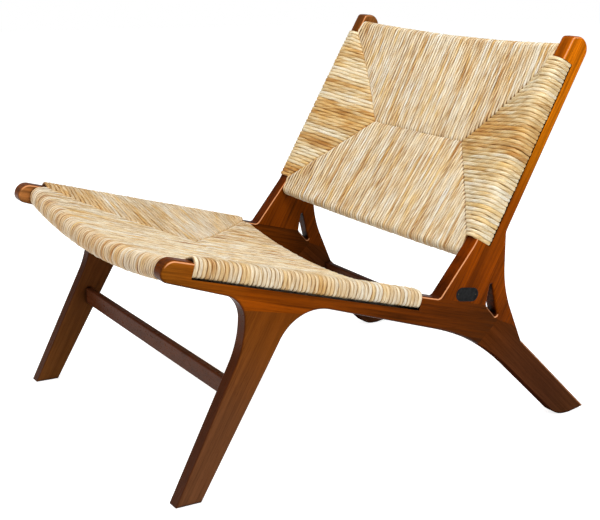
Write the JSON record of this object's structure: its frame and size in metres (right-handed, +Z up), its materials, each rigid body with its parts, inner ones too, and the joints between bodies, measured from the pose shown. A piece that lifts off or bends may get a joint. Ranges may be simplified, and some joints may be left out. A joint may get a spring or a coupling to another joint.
{
  "type": "low lounge chair",
  "caption": "Low lounge chair with raked hardwood side frames and a bowed seat and back wrapped in twisted rush that meets at mitred seams.",
  "frame": {"origin": "middle of the chair's footprint, on the floor", "axes": "+Z up, the sitter faces -Y, +X to the sitter's left"},
  "size_m": [0.6506, 0.8668, 0.693],
  "materials": {
    "hardwood": "oiled, satin",
    "inner_wood": "bare",
    "rush": "twisted natural rush",
    "stuffing": "loose rush ends, packed",
    "plate": "blackened, blank",
    "pins": "darkened"
  },
  "bodies": {
    "root": {"left_side_rail": "hardwood", "left_front_leg": "hardwood", "left_rear_leg": "hardwood", "left_back_post": "hardwood", "right_side_rail": "hardwood", "right_front_leg": "hardwood", "right_rear_leg": "hardwood", "right_back_post": "hardwood", "front_stretcher": "hardwood", "rear_stretcher": "hardwood", "seat_front_rail": "inner_wood", "seat_rear_rail": "inner_wood", "back_bottom_rail": "inner_wood", "back_top_rail": "inner_wood", "front_leg_dowels": "inner_wood", "post_dowels": "inner_wood", "rear_leg_dowels": "inner_wood", "maker_plate": "plate", "plate_pins": "pins", "seat_rush_front": "rush", "seat_rush_rear": "rush", "seat_rush_left": "rush", "seat_rush_right": "rush", "back_rush_top": "rush", "back_rush_bottom": "rush", "back_rush_left": "rush", "back_rush_right": "rush", "seat_stuffing": "stuffing", "back_stuffing": "stuffing"}
  },
  "joints": []
}
